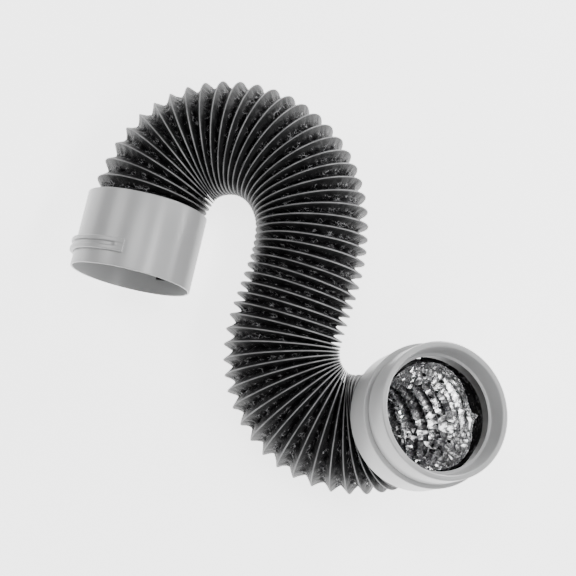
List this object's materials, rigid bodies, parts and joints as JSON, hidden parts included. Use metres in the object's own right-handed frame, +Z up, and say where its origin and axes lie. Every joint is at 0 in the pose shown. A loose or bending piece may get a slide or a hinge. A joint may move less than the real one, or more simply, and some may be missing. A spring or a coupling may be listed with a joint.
{
  "type": "dryer vent hose",
  "caption": "Flexible black dryer vent hose bent in an S, with a helically pleated film jacket, a foil liner and a grey plastic coupling on each end.",
  "frame": {"origin": "middle of the bounding box in plan, on the floor that the hose lies on", "axes": "+Z up from the floor; +X along the longest side, from the straight coupling towards the raised collar; the straight coupling's mouth opens towards -Y"},
  "size_m": [0.4302, 0.3668, 0.1777],
  "materials": {
    "black_film": "semi-gloss black film, pleated, with a pale wire line on each crest",
    "aluminium_foil": "bright crumpled foil",
    "grey_plastic": "satin light-grey moulded plastic"
  },
  "bodies": {
    "root": {"hose_jacket": "black_film", "foil_liner": "aluminium_foil", "straight_coupling": "grey_plastic", "collar_coupling": "grey_plastic"}
  },
  "joints": []
}
